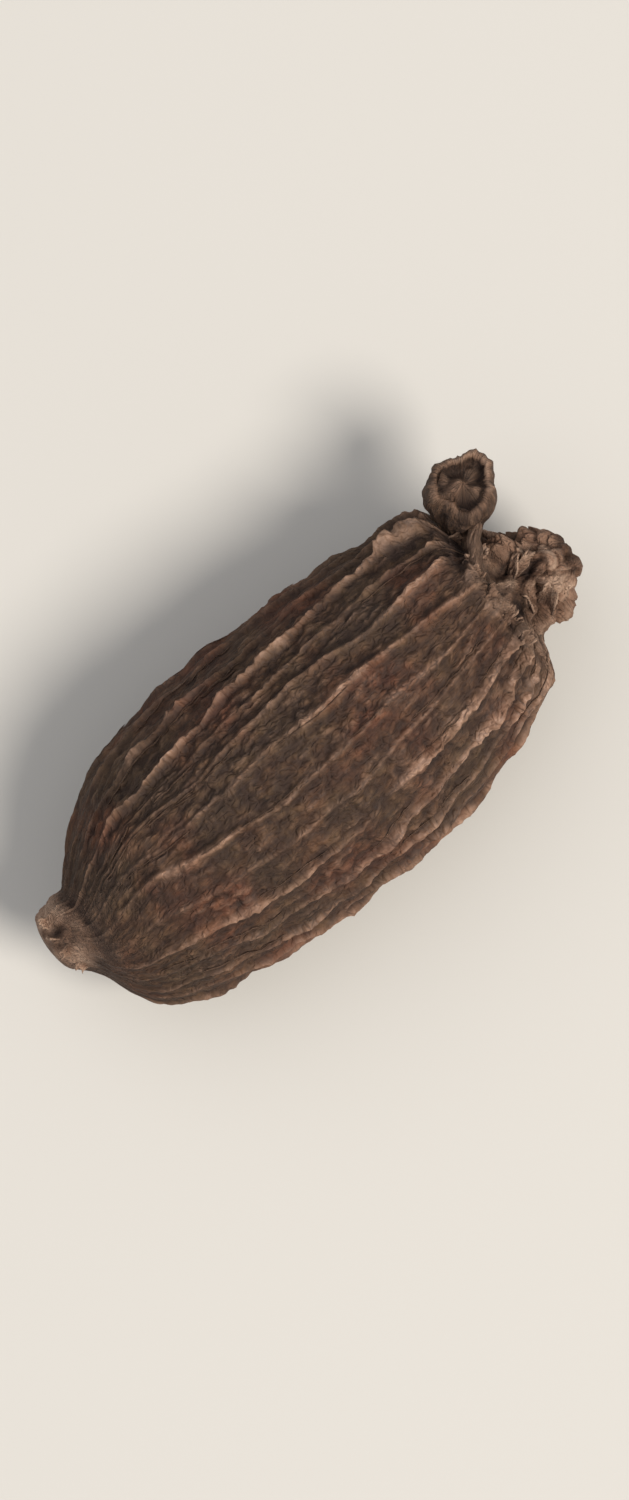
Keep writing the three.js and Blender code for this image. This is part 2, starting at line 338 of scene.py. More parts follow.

# %% [markdown]
# Some stretches of rib catch the eye on this pod: they stand higher, and they carry a painted highlight
# that pales them. Each is given by its place along and across the pod, its half length and its extra
# strength, and the nearest rib takes it. One patch of the skin near the crown is paler as a whole: its
# place is followed by its half length and half width.

# %% Bright stretches of rib
STRETCHES = [
    (-5.4, 4.3, 0.6, 0.5), (-3.85, 3.25, 0.5, 0.7), (-8.5, 1.9, 1.7, 0.6), (-7.2, -0.35, 0.8, 0.9),
    (-5.6, -0.4, 0.9, 0.4), (0.3, 1.3, 0.9, 0.6), (7.5, 4.35, 1.6, 1.0), (1.4, 3.9, 1.2, 0.3),
    (7.6, 2.4, 1.2, 0.6), (3.0, 0.9, 1.2, 0.4), (4.8, -0.55, 1.2, 0.7), (2.5, -2.8, 1.3, 0.6),
    (5.5, -2.5, 1.6, 1.0), (8.7, -1.6, 1.2, 1.5), (5.8, -3.4, 1.5, 0.9), (8.8, -2.5, 1.3, 1.4),
    (9.2, -3.4, 1.2, 1.0), (8.9, -2.95, 1.1, 1.2), (-8.2, -3.0, 0.7, 0.8), (-5.9, -3.5, 1.3, 0.5),
    (-2.0, -4.6, 1.5, 0.5), (-9.5, 0.6, 0.8, 0.5), (-1.0, 2.6, 1.0, 0.4), (8.8, 0.5, 0.8, 0.5),
]
PALE_PATCH = (7.0, -2.9, 3.4, 1.7)
CROWN_TIP_ROW = 20  # after this row the outline turns back into the crown's bowl


def outline_at(place):
    return [smooth(column, place) for column in OUTLINE_COLUMNS]


def place_of(x):
    """The place in the outline table that belongs to a place along the pod, by halving."""
    low, high = 0.0, float(CROWN_TIP_ROW)
    for _ in range(40):
        middle = (low + high) / 2
        low, high = (middle, high) if (outline_at(middle)[0] - 0.5) * POD_LENGTH < x else (low, middle)
    return low


def nearest_rib(x, y):
    _, half, shift, _, _ = outline_at(place_of(x))
    return min(range(len(UPPER_RIBS)), key=lambda rib: abs(
        HALF_WIDTH * (shift + half * math.sin(math.radians(rib_angle(rib, x)))) - y))


highlit_stretches = [(nearest_rib(x, y), x, half, extra) for x, y, half, extra in STRETCHES]


def pale_patch_share(x, level):
    middle, across, half_long, half_wide = PALE_PATCH
    return math.exp(-((x - middle) / half_long) ** 2 - ((level - across) / half_wide) ** 2)


def brightness(rib, x):
    return sum(extra * math.exp(-((x - middle) / half) ** 2)
               for own, middle, half, extra in highlit_stretches if own == rib)


print("bright stretches lie on ribs", sorted({own for own, *_ in highlit_stretches}))

# %% [markdown]
# The crown is what is left of the flower: a crumpled shallow bowl with lumpy rims. Its folds are
# waves that lean against each other. A few lumps and hollows that give this pod its own face are
# put where they are on the real one, each with its place, its radius and its height. The other end
# is a tan stub with an uneven edge, given by its middle, its half length and its half width.

# %% Folds, lumps and hollows of the crown and nose
CROWN_FOLD = 0.3
FOLD_LEAN = 0.7
CROWN_DENT = 0.75
MARKS = [
    (9.25, 1.35, 0.42, 0.42), (9.2, 0.1, 0.45, 0.36), (10.15, 0.3, 0.34, 0.42),
    (12.1, 0.4, 0.35, 0.4), (11.75, -1.05, 0.4, 0.42), (11.2, -0.5, 0.3, 0.25),
    (10.95, 0.05, 0.4, -0.35), (10.6, 1.0, 0.4, -0.28), (12.3, -0.6, 0.3, 0.25),
    (9.95, 1.5, 0.3, 0.2), (9.7, -0.9, 0.4, -0.2), (9.55, 2.75, 0.5, -0.5),
    (9.9, 3.3, 0.45, -0.35), (-12.3, 0.85, 0.36, -0.4), (-11.6, 1.5, 0.5, 0.18),
    (-11.9, -0.3, 0.45, 0.16), (-12.6, 1.5, 0.4, 0.15), (0.9, -3.5, 0.34, -0.2),
    (2.2, -2.7, 0.4, 0.1), (2.9, -3.9, 0.35, 0.1), (9.15, 2.35, 0.34, -0.6), (9.0, 1.8, 0.26, -0.4),
    (9.3, -0.35, 0.3, 0.25), (10.2, -0.9, 0.3, 0.3), (11.3, 0.9, 0.35, 0.3),
]
NOSE_STUB = (-12.3, 0.5, 1.35, 2.1)
NOSE_REACH = -9
COLLAR_PLACE = 9.35  # where the ribs end and the crown begins
COLLAR_HALF = 0.45


def crumple(angle, x):
    return (0.6 * math.sin(4 * angle + 0.9 * x) * math.cos(1.9 * x - angle)
            + 0.45 * math.cos(7 * angle - 1.3 * x + 2) + 0.3 * math.sin(3 * angle + 2.2 * x + 1))


def bowl(degrees, x):
    across = (math.fmod(degrees + 6 + 180, 360) - 180) / 34
    return math.exp(-((x - 10.7) / 0.9) ** 2 - across ** 2)


def lumps_at(x, level):
    return sum(height * math.exp(-((x - mx) ** 2 + (level - my) ** 2) / size ** 2)
               for mx, my, size, height in MARKS if abs(x - mx) < 1.5)


def nose_share(spot, level):
    """How much a point belongs to the nose's stub, from 0 to 1."""
    middle, across, half_long, half_wide = NOSE_STUB
    far = 9.0
    if spot[0] < NOSE_REACH:
        far = (abs(spot[0] - middle) / half_long) ** 3 + (abs(level - across) / half_wide) ** 3
    return math.exp(-far * (1 + 0.7 * grain(spot, 0.9, 0.9, 91)))


def torn(spot):
    """Knuckled, torn skin: knobs most of a millimetre wide with deep gaps, and sharp folds on them."""
    bent = Vector(spot) + 0.5 * noise.noise_vector(Vector(spot) * 0.9 + Vector((3, 1, 2)))
    first, second = noise.voronoi(bent * 1.15)[0][:2]
    knob = 0.30 * (1 - min(1.0, first / 0.7) ** 2) - 0.22 * max(0.0, 1 - (second - first) / 0.22)
    coarse = ridge(grain(spot, 0.9, 0.9, 21), 2.6) - 0.4
    fine = ridge(grain(spot, 2.3, 2.3, 22), 2.8) - 0.4
    return knob - 0.08 + 0.14 * coarse + 0.14 * fine


print(len(MARKS), "lumps and hollows")

# %% [markdown]
# ## The husk piece
# A globe of fine rows and columns is the start: its poles become the tip of the nose and the bottom
# of the crown, eighteen columns run along each rib and crowd towards its crest. Every point is then
# moved to its place. A globe is already closed, so the husk stays one closed skin. While the points
# are moved, the paleness of the crest, the painted shade and the dryness of each are kept for the material.

# %% Rows spaced evenly over the skin
COLUMNS_PER_RIB = 18
COLUMNS = RIB_COUNT * COLUMNS_PER_RIB
ROWS = 248


def even_rows(count, fine=3000):
    last = len(OUTLINE) - 1
    places = [last * i / fine for i in range(fine + 1)]
    spots = [outline_at(place) for place in places]
    run = [0.0]
    for a, b in zip(spots, spots[1:]):
        step = math.hypot((b[0] - a[0]) * POD_LENGTH, (b[1] - a[1]) * HALF_WIDTH)
        run.append(run[-1] + step * (1 + 0.6 * b[4]))
    rows, k = [], 0
    for row in range(count + 1):
        target = run[-1] * row / count
        while k < fine - 1 and run[k + 1] < target:
            k += 1
        share = (target - run[k]) / max(1e-9, run[k + 1] - run[k])
        rows.append(places[k] + share * (places[k + 1] - places[k]))
    rows[0], rows[-1] = 0.0, float(last)
    return rows, run[-1]


row_places, skin_run = even_rows(ROWS)
print(ROWS, "rows over", round(skin_run, 1), "mm of skin")


# %% A globe that keeps values for the material
def new_globe(columns, rows):
    """A closed globe, the row and turn of each of its points, and layers for the material."""
    form = bmesh.new()
    layers = material_layers(form)
    bmesh.ops.create_uvsphere(form, u_segments=columns, v_segments=rows, radius=1)
    places = []
    for vert in form.verts:
        row = math.atan2(math.hypot(vert.co.x, vert.co.y), vert.co.z) / math.pi * rows
        column = math.atan2(vert.co.y, vert.co.x) / math.tau * columns
        places.append((round(row), round(column) % columns, vert))
    return form, places, layers


def material_layers(form):
    floats = form.verts.layers.float
    return (floats.new("crest"), floats.new("hollow"), floats.new("dry"),
            form.verts.layers.float_vector.new("fibre"))


def face_out(form):
    """Turns every face outward. Deep folds can mislead the operator, so the volume's sign decides."""
    bmesh.ops.recalc_face_normals(form, faces=form.faces)
    if form.calc_volume(signed=True) < 0:
        bmesh.ops.reverse_faces(form, faces=form.faces)
    form.normal_update()


def keep(vert, layers, crest, hollow, dry, fibre):
    vert[layers[0]] = max(0.0, min(1.0, crest))
    vert[layers[1]] = max(0.0, min(1.0, hollow))
    vert[layers[2]] = max(0.0, min(1.0, dry))
    vert[layers[3]] = Vector(fibre)


print("one globe row is", round(skin_run / ROWS, 3), "mm")


# %% [markdown]
# Two steps give each point its place. First, each rib and each valley is described once for a whole
# row of points: its angle, its strength, its beads and how it strays. Then each point takes its
# height from the rib beside it, from the weak fibres and from the skin, and near the crown from the
# folds and rags. The same numbers say how pale the skin is there, how much shade is painted on it and how
# dry it is.


# %% What the ribs are like at one place along the pod
def rib_row(x):
    """What every rib and valley is like at one place along the pod."""
    ribs = []
    for index in range(-1, RIB_COUNT + 2):
        own = index % RIB_COUNT
        bright = brightness(own, x)
        stray = 0.05 * noise_at(x * 0.7, own * 3.3, 1) + 0.05 * noise_at(x * 3.1, own * 5.1, 4)
        uneven = 1 + 0.2 * noise_at(x * 0.6, own * 7.7, 8)
        beads = 1 + 0.4 * noise_at(x * 1.7, own * 1.9, 2) + 0.75 * noise_at(x * 3.9, own * 2.3, 6)
        strength = rib_strength(index, x) * uneven
        ribs.append((rib_angle(index, x), strength * (1 + 0.25 * bright), beads, stray, bright))
    return ribs, [weak_fibres(gap, x) for gap in range(RIB_COUNT)]


print("strongest rib at the middle", round(max(rib[1] for rib in rib_row(0)[0]), 2))


# %% Place and values of one point of the husk
ROUND_WIDTH = 5.5  # mm, near the husk's radius: what a turn round a piece counts as in patterns


def husk_point(column, outline, ribs, valleys):
    place, half, shift, ribbed, folded = outline
    x = (place - 0.5) * POD_LENGTH
    radius = max(0.0, half * HALF_WIDTH)
    fade = min(1.0, radius)
    skinny = min(1.0, ribbed)
    rib = (column + COLUMNS_PER_RIB // 2) // COLUMNS_PER_RIB
    even = (column - rib * COLUMNS_PER_RIB) / (COLUMNS_PER_RIB / 2)
    side = 1 if even > 0 else -1
    across = side * abs(even) ** 1.3
    middle, strength, beads, stray, bright = ribs[rib + 1]
    degrees = middle + abs(across) * (ribs[rib + 1 + side][0] - middle) / 2
    angle = math.radians(degrees)
    spot = (x, radius * math.sin(angle), radius * math.cos(angle))

    own = rib % RIB_COUNT
    share = across / 2 if side > 0 else 1 - abs(across) / 2
    gap = own if side > 0 else (rib - 1) % RIB_COUNT
    valley = min(1.0, abs(across) * 2) * skinny
    pressed = 1 - 0.85 * math.exp(-((abs(180 - degrees % 360)) / 26) ** 2)
    calm = 1 - 0.6 * abs(math.sin(angle)) ** 6
    rubbed = beads
    beads = 1 + (beads - 1) * calm
    level = spot[1] + shift * HALF_WIDTH
    nose = nose_share(spot, level)
    skinny *= 1 - 0.75 * nose
    ribbed *= 1 - 0.75 * nose

    # The rib's crest with its beads, the weak fibres beside it, and the skin.
    offset = (across - stray) / (1 + 0.8 * bright)
    crest = rib_profile(offset)
    sharp = math.exp(-(offset / 0.18) ** 2)
    beaded = (0.45 + 0.3 * bright) * (beads - 1) * sharp
    rib_height = RIB_HEIGHT * ribbed * strength * pressed * (crest + beaded)
    woven = valley * sum(h * math.exp(-((share - c) / 0.05) ** 2) for c, h in valleys[gap])
    creased = wrinkles(spot) * (0.4 + 0.6 * valley) * calm
    broken = pebbles(spot) * (0.3 + 0.7 * valley) * calm - 0.06
    swell = 0.07 * skinny * math.sin(1.9 * x + 2 * angle) * math.cos(1.1 * x - 3 * angle)
    rough = 0.05 * grain(spot, 0.5, 0.7, 3) + 0.04 * grain(spot, 2.4, 4.2, 6)
    rough += 0.035 * grain(spot, 4.0, 5.0, 7)

    # The crown's folds, torn skin and bowl, and the single lumps and hollows.
    folds = CROWN_FOLD * folded * crumple(angle, x)
    shoulder = 0.7 * math.exp(-((x - COLLAR_PLACE) / COLLAR_HALF) ** 2)
    rags = (folded + shoulder) * torn(spot)
    dent = CROWN_DENT * min(1.0, folded) * bowl(degrees, x)
    lumps = lumps_at(x, level) if spot[2] > 0 else 0.0

    # All of it together, and the belly flat where it rests.
    section = 1 + THREE_SIDED * math.cos(3 * angle)
    groove = -0.16 * math.exp(-((nose - 0.4) / 0.22) ** 2) if x < NOSE_REACH else 0.0
    small = rib_height + woven + (creased + broken) * (1 - 0.5 * nose) + swell + rough + groove
    reach = radius * section + fade * (small + folds + rags - dent + lumps)
    made = Vector((x + FOLD_LEAN * folds * fade, shift * HALF_WIDTH + reach * math.sin(angle),
                   FLATNESS * reach * math.cos(angle) - ARCH * (x / HALF_LENGTH) ** 2)) + TO_FRAME
    made.z = max(0.0, made.z)

    # Paleness of crests and lumps; painted shade dulls the crests on the upper side.
    painted_side_shade = 1 - 0.45 * max(0.0, math.sin(angle)) ** 2
    pale = 0.8 * painted_side_shade * sharp * (0.28 + 0.78 * strength) * ribbed * pressed * rubbed
    pale += woven * 7
    pale += (creased + broken) * 1.5
    # Painted highlight on the bright stretches of rib.
    pale += 0.72 * bright * sharp * min(1.2, strength)
    # Crests and skin are paler in one patch near the crown.
    if spot[2] > 0:
        pale += pale_patch_share(x, level) * (0.17 + 0.22 * crest + 0.3 * grain(spot, 1.3, 2.6, 81))
    # Lumps and rags are paler; the nose's share is painted light, lightening a side the key light shades.
    pale += 3.2 * max(0.0, lumps) + 1.5 * max(0.0, rags) + 0.55 * nose * (1 + grain(spot, 1.6, 1.6, 61))

    # Shadow at the foot of a rib, in creases, between the crown's knobs and in the hollows.
    patchy = max(0.0, 0.6 + grain(spot, 1.1, 1.1, 51))
    foot = 0.42 * patchy * strength * skinny * math.exp(-((abs(offset) - 0.42) / 0.15) ** 2)
    painted_dark = foot - (creased + broken) * 5 * skinny * (1 - 0.85 * sharp * min(1.0, strength))
    painted_dark -= 2.6 * min(0, rags + 0.02)
    painted_dark -= 2.4 * min(0, lumps)
    painted_dark += 0.2 * dent
    painted_dark -= 4 * groove

    # Dryness of both ends and the collar, and the way of the fibres, which ends in a tangle.
    collar = 1.1 * shoulder * max(0.0, math.cos(angle)) * (0.7 + 0.8 * grain(spot, 0.9, 0.9, 71))
    dry = max(0.0, folded) * (0.9 - nose) + collar + nose
    along = Vector((x, ROUND_WIDTH * math.cos(angle), ROUND_WIDTH * math.sin(angle)))
    tangle = Vector((1.4 * x, 1.6 * spot[2], 1.6 * spot[1]))
    fibre = along.lerp(tangle, min(1.0, max(0.0, folded) + nose))
    return made, (pale, painted_dark, dry, fibre)


middle_row = outline_at(place_of(0))
print("top of the husk at", round(husk_point(0, middle_row, *rib_row(0))[0].z, 2), "mm")


# %% Move the globe's points to the husk
globe, globe_places, layers = new_globe(COLUMNS, ROWS)
by_row = {}
for row, column, vert in globe_places:
    by_row.setdefault(row, []).append((column, vert))
for row, members in by_row.items():
    outline = outline_at(row_places[row])
    ribs, valleys = rib_row((outline[0] - 0.5) * POD_LENGTH)
    for column, vert in members:
        made, values = husk_point(column, outline, ribs, valleys)
        vert.co = made * MM
        keep(vert, layers, *values)

face_out(globe)
skin_tree = BVHTree.FromBMesh(globe)
print("husk volume", round(globe.calc_volume(signed=True) / MM ** 3), "mm3 from", len(globe.faces), "faces")


# %% Finish a piece
def finished(form, name):
    """Puts a finished form into its own object, shaded smooth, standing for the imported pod."""
    for face in form.faces:
        face.smooth = True
    data = bpy.data.meshes.new(name)
    form.to_mesh(data)
    form.free()
    piece = bpy.data.objects.new(name, data)
    bpy.context.collection.objects.link(piece)
    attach(piece, "root")
    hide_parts("pod")
    print(name, "has", sum(len(face.vertices) - 2 for face in data.polygons), "triangles")
    return piece


pieces = [finished(globe, "ribbed_husk")]

# %% [markdown]
# ## The stalk stub
# A short piece of the stalk stays on the pod. It comes out under the crown, turns up beside it and
# ends in a curled, cupped head. A small globe is moved on to a turned profile that is bent along a
# curve. The rim of the cup is high on one side, and five shrunken lumps fill most of it.

# %% The line that the stub follows
STALK_LINE = [Vector(p) for p in ((8.7, -0.2, 0.3), (9.7, 3, -0.1), (10.8, 4, 0.6), (11.3, 4.5, 2.9))]
STALK_LENGTH = 5.5
BEND_STEPS = 200
STALK_PROFILE = [
    (0, 0), (0.45, 0), (0.75, 0.05), (0.8, 0.6), (0.8, 1.2), (0.7, 2.4), (0.82, 3), (1.2, 3.5),
    (1.40, 4.1), (1.43, 4.6), (1.33, 5.0), (1.15, 5.15), (1.0, 5.1), (0.9, 4.95), (0.8, 4.8),
    (0.6, 4.7), (0.3, 4.7), (0, 4.7),
]


def bend(t):
    a, b, c, d = STALK_LINE
    s = 1 - t
    spot = a * s ** 3 + b * (3 * s * s * t) + c * (3 * s * t * t) + d * t ** 3
    way = (b - a) * (3 * s * s) + (c - b) * (6 * s * t) + (d - c) * (3 * t * t)
    return spot, way.normalized()


bend_spots = [bend(i / BEND_STEPS)[0] for i in range(BEND_STEPS + 1)]
bend_run = [0.0]
for p, q in zip(bend_spots, bend_spots[1:]):
    bend_run.append(bend_run[-1] + (q - p).length)


def at_share(share):
    target = max(0.0, min(1.0, share)) * bend_run[-1]
    k = next((i for i in range(BEND_STEPS) if bend_run[i + 1] >= target), BEND_STEPS - 1)
    return bend((k + (target - bend_run[k]) / (bend_run[k + 1] - bend_run[k])) / BEND_STEPS)


print("stub runs", round(bend_run[-1], 2), "mm")

# %% The curled stub
STUB_COLUMNS, STUB_ROWS = 108, 140
RIM_ROW = 11.3  # the row of the profile that is the cup's rim
CUP_ROW = 12.5  # rows after this one lie inside the cup
CUP_LUMPS = [
    (-0.72, 0.05, 0.34, 0.50), (-0.15, -0.10, 0.34, 0.62), (0.22, 0.50, 0.32, 0.50),
    (0.55, -0.30, 0.28, 0.42), (-0.45, -0.62, 0.24, 0.34),
]
stub, stub_places, layers = new_globe(STUB_COLUMNS, STUB_ROWS)
widths = [p[0] for p in STALK_PROFILE]
heights = [p[1] for p in STALK_PROFILE]
for row, column, vert in stub_places:
    turn = column / STUB_COLUMNS * math.tau
    place = row / STUB_ROWS * (len(STALK_PROFILE) - 1)
    width, height = max(0.0, smooth(widths, place)), smooth(heights, place)
    share = height / STALK_LENGTH
    head = max(0.0, min(1.0, (share - 0.5) / 0.25))
    lumpy = 1 + 0.09 * head * (math.cos(3 * turn + 1) + 0.6 * math.cos(5 * turn + 2))
    round_spot = Vector((height, 2.6 * math.cos(turn), 2.6 * math.sin(turn)))
    threads = ridge(noise_at(height * 0.7, 6 * math.cos(turn), 6 * math.sin(turn)), 2.6)
    rough = 0.11 * noise.noise(round_spot) + 0.06 * noise.noise(round_spot * 2.7) + 0.06 * (threads - 0.4)
    reach = width * lumpy + rough * min(1.0, width * 1.5)
    right, down = reach * math.cos(turn), reach * math.sin(turn)
    inside = place > CUP_ROW
    lift = 0.16 * math.cos(turn + 0.2) + 0.09 * math.cos(3 * turn + 2.2) + 0.08 * math.cos(7 * turn)
    lift *= head * max(0.0, min(1.0, (height - 4.0) / 1.0)) * (0.3 if inside else 1)
    bulge = sum(h * math.exp(-((right - mx) ** 2 + (down - my) ** 2) / size ** 2)
                for mx, my, size, h in CUP_LUMPS) if inside else 0.0
    spot, way = at_share(share)
    over = Vector((1, 0, 0)).cross(way).normalized()
    side = way.cross(over)
    spot = spot + way * (lift + bulge) + side * right + over * down
    vert.co = (spot + TO_FRAME) * MM
    # Painted shade fills the cup and lies between the threads, less on the rim; the rim and lumps are paler.
    rim = math.exp(-((place - RIM_ROW) / 1.1) ** 2)
    pale = 0.15 * threads + 0.6 * rim * (0.6 + 0.4 * math.cos(turn + 0.2)) + 0.8 * bulge
    painted_dark = 0.85 - 1.9 * bulge if inside else 0.4 - 0.8 * rim + 0.5 * (0.4 - threads)
    keep(vert, layers, pale, painted_dark, 0.3 + 0.3 * rim,
         (height, ROUND_WIDTH * math.cos(turn), ROUND_WIDTH * math.sin(turn)))
face_out(stub)
print("stub volume", round(stub.calc_volume(signed=True) / MM ** 3, 1), "mm3")
pieces.append(finished(stub, "stalk_stub"))

# %% [markdown]
# ## Strands and fibres
# A strand of seven twisted threads runs down from the curled head to the rim of the crown, and loose
# fibres lie along the ribs. Each is a small closed tube: a globe whose rows are carried along a line
# of points. The strand's line is listed point by point. A fibre's is found by casting rays at the husk.


# %% Find a place on the husk, and lay a tube along points
def on_skin(x, degrees):
    """The point of the husk's skin at a place along it and an angle round it, and its outward way."""
    _, _, shift, _, _ = outline_at(place_of(x))
    axis = Vector((x, shift * HALF_WIDTH, -ARCH * (x / HALF_LENGTH) ** 2)) + TO_FRAME
    out = Vector((0, math.sin(math.radians(degrees)), math.cos(math.radians(degrees))))
    spot, normal, _, _ = skin_tree.ray_cast((axis + out * 9) * MM, -out)
    return (spot / MM, normal) if spot else (axis, out)


def tube(form, layers, points, width, columns, rows, values, seed=0):
    """Adds a closed tube along the points, thin at both ends; width is its half width in mm."""
    begun = bmesh.ops.create_uvsphere(form, u_segments=columns, v_segments=rows, radius=1)
    last = len(points) - 1
    for vert in begun["verts"]:
        polar = math.atan2(math.hypot(vert.co.x, vert.co.y), vert.co.z) / math.pi
        turn = math.atan2(vert.co.y, vert.co.x)
        step = min(int(polar * last), last - 1)
        inside = polar * last - step
        spot = points[step].lerp(points[step + 1], inside)
        way = (points[step + 1] - points[step]).normalized()
        over = way.cross(Vector((0.13, 0.21, 1))).normalized()
        side = over.cross(way)
        thick = width * min(1.0, 3 * math.sin(math.pi * max(0.0, min(1.0, polar)))) ** 0.7
        knots = noise_at(polar * last * 1.3, 1.5 * math.cos(turn), 1.5 * math.sin(turn) + seed)
        thick *= 1 + 0.5 * knots
        vert.co = (spot + over * (thick * math.cos(turn)) + side * (thick * math.sin(turn))) * MM
        keep(vert, layers, *values,
             (polar * 3 + seed, ROUND_WIDTH * math.cos(turn), ROUND_WIDTH * math.sin(turn)))


print("a ray meets the top of the husk at", [round(v, 2) for v in on_skin(0, 0)[0]])

# %% Strand of the stalk
strand = bmesh.new()
layers = material_layers(strand)
STRAND_LINE = [
    (11.1, 3.7, 6.0), (10.75, 3.35, 6.4), (10.5, 2.95, 6.5), (10.1, 2.6, 6.75), (9.85, 2.15, 6.9),
    (9.65, 1.85, 7.15), (9.4, 1.5, 7.3), (9.3, 1.05, 7.3), (9.45, 0.75, 7.0),
]
BUNDLE = 7
THREAD_MESH = (12, 56)  # columns and rows of one thread
for thread in range(BUNDLE):
    points = []
    for step, spot in enumerate(STRAND_LINE):
        round_line = math.tau * (thread / BUNDLE + 0.11 * step)
        spread = 0.09 + 0.022 * step + 0.05 * wave(step, 5, thread)
        level = spread * math.cos(round_line)
        points.append(Vector(spot) + Vector((level, level * -0.5, spread * math.sin(round_line))))
    tube(strand, layers, points, 0.08 + 0.05 * dice(thread + 70), *THREAD_MESH,
         (0.75 + 0.25 * dice(thread + 3), 0.2 * dice(thread + 9), 0.2), thread * 2.3)
face_out(strand)
pieces.append(finished(strand, "stalk_strand"))

# %% Loose fibres along the ribs
FIBRES = 70
FIBRE_POINTS = 14
FIBRE_MESH = (5, 20)  # columns and rows of one fibre
FIRST_PLACE, LAST_PLACE = -10.5, 9.6
CLEAR_OF_FLOOR = 0.5
fibres = bmesh.new()
layers = material_layers(fibres)
for number in range(FIBRES):
    rib = int(dice(number + 0.3) * RIB_COUNT)
    start = FIRST_PLACE + 19 * dice(number + 400)
    length = 1.4 + 2.6 * dice(number + 800)
    drift = 5 * (dice(number + 1200) - 0.5)
    lift = 0.02 + 0.14 * dice(number + 1600) ** 3
    points = []
    for step in range(FIBRE_POINTS):
        share = step / (FIBRE_POINTS - 1)
        x = min(LAST_PLACE, start + length * share)
        spot, out = on_skin(x, rib_angle(rib, x) + drift * (share - 0.3))
        points.append(spot + out * (0.01 + lift * share ** 2))
    if min(p.z for p in points) > CLEAR_OF_FLOOR:
        tube(fibres, layers, points, 0.020 + 0.014 * dice(number + 2000), *FIBRE_MESH,
             (0.40, 0.0, 0.2), number)
face_out(fibres)
pieces.append(finished(fibres, "loose_fibres"))

# %% [markdown]
# ## Rags of the flower
# The crown is torn into small papery rags, smaller scraps lie on the collar of husk beside it, and a
# few scales stand round the pit in the nose. Each rag is a little sheet of faces: its outline narrows
# and frays, it curls away from the skin, and it is crumpled by noise. A thin wall then turns each
# sheet into a closed scrap.


# %% One rag, rooted on the husk
RAG_FACES = (9, 7)
RAG_WALL = 0.07


def rag(form, layers, root, out, way, length, width, curl, seed, dry=1.0):
    begun = bmesh.ops.create_grid(form, x_segments=RAG_FACES[0], y_segments=RAG_FACES[1], size=1)
    sheet = list({face for vert in begun["verts"] for face in vert.link_faces})
    sheet.sort(key=lambda face: tuple(face.calc_center_median()))
    side = out.cross(way).normalized()
    for vert in begun["verts"]:
        share, across = (vert.co.x + 1) / 2, vert.co.y
        fray = 1 + 0.45 * noise_at(across * 2.3, seed, 0.5)
        uneven = 1 + 0.3 * noise_at(share * 2, seed, across)
        broad = width * (0.75 + 0.7 * share - 0.9 * share ** 2) * uneven
        spot = root + way * (length * share * fray) + side * (broad * across)
        spot += out * (curl * share ** 2 * length - 0.12 + 0.35 * width * across ** 2 * (0.3 + share))
        shake = Vector((spot.x * 1.9 + seed, spot.y * 1.9, spot.z * 1.9))
        sway = out * (0.16 * noise.noise(shake)) + side * (0.10 * noise.noise(shake * 2.1))
        spot += (sway + way * (0.08 * noise.noise(shake * 1.7))) * min(1.0, 1.6 * length)
        spot.z = max(0.02, spot.z)
        vert.co = spot * MM
        # The rag's edges are pale, and painted shade lies at its root on the skin.
        edge = max(abs(across), share) ** 3
        keep(vert, layers, 0.9 * edge, 0.8 * (1 - share) ** 2, dry, (spot.x, spot.y * 2, spot.z * 2))
    form.normal_update()
    bmesh.ops.solidify(form, geom=sheet, thickness=RAG_WALL * MM)


print("a rag is a sheet of", RAG_FACES[0] * RAG_FACES[1], "faces,", RAG_WALL, "mm thick")

# %% Rags on the crown
rags = bmesh.new()
layers = material_layers(rags)
CROWN_RAGS = 40
LEVEL_ENOUGH = 0.55  # rags stand only where the skin faces up at least this much
OUTERMOST = 10.9  # and not further out than this, in mm along the pod
for number in range(CROWN_RAGS):
    degrees = 360 * (number + 0.7 * dice(number + 61)) / CROWN_RAGS * 3 % 360
    x = 9.5 + 2.0 * dice(number + 97)
    spot, out = on_skin(x, degrees)
    if out.z < LEVEL_ENOUGH or x > OUTERMOST:
        continue
    forward = Vector((0.65, 0.5 * (dice(number + 17) - 0.5), 0.5 * (dice(number + 29) - 0.5)))
    way = (forward + out * (0.1 + 0.35 * dice(number + 41))).normalized()
    length = 0.35 + 0.5 * dice(number + 5) ** 2
    length = min(length, 12.75 - x)
    rag(rags, layers, spot, out, way, length, 0.22 + 0.3 * dice(number + 7), 0.5, number * 1.3)
print(len(rags.faces), "faces of rags on the crown")

# %% Scraps on the collar and scales on the nose
COLLAR_SCRAPS = 20
NOSE_SCALES = (-50, -15, 20, 50)  # degrees from the top
for number in range(COLLAR_SCRAPS):
    degrees = 75 * dice(number + 223) - 36
    spot, _ = on_skin(8.95 + 0.45 * dice(number + 211), degrees)
    out = Vector((0.45, math.sin(math.radians(degrees)), math.cos(math.radians(degrees)))).normalized()
    forward = Vector((1, 0.4 * (dice(number + 5) - 0.5), 0))
    way = (forward - out * (forward.dot(out) - 0.08)).normalized()
    length, width = 0.2 + 0.45 * dice(number + 230), 0.15 + 0.3 * dice(number + 240)
    rag(rags, layers, spot - out * 0.05, out, way, length, width, -0.15, 80 + number * 1.7,
        0.35 + 0.4 * dice(number + 250))
for number, degrees in enumerate(NOSE_SCALES):
    spot, out = on_skin(NOSE_STUB[0], degrees)
    way = (Vector((-0.3, 0.3 * (dice(number) - 0.5), 0)) + out * 0.35).normalized()
    rag(rags, layers, spot, out, way, 0.3 + 0.15 * dice(number + 2), 0.28, 0.1, 50 + number)
face_out(rags)
pieces.append(finished(rags, "flower_rags"))

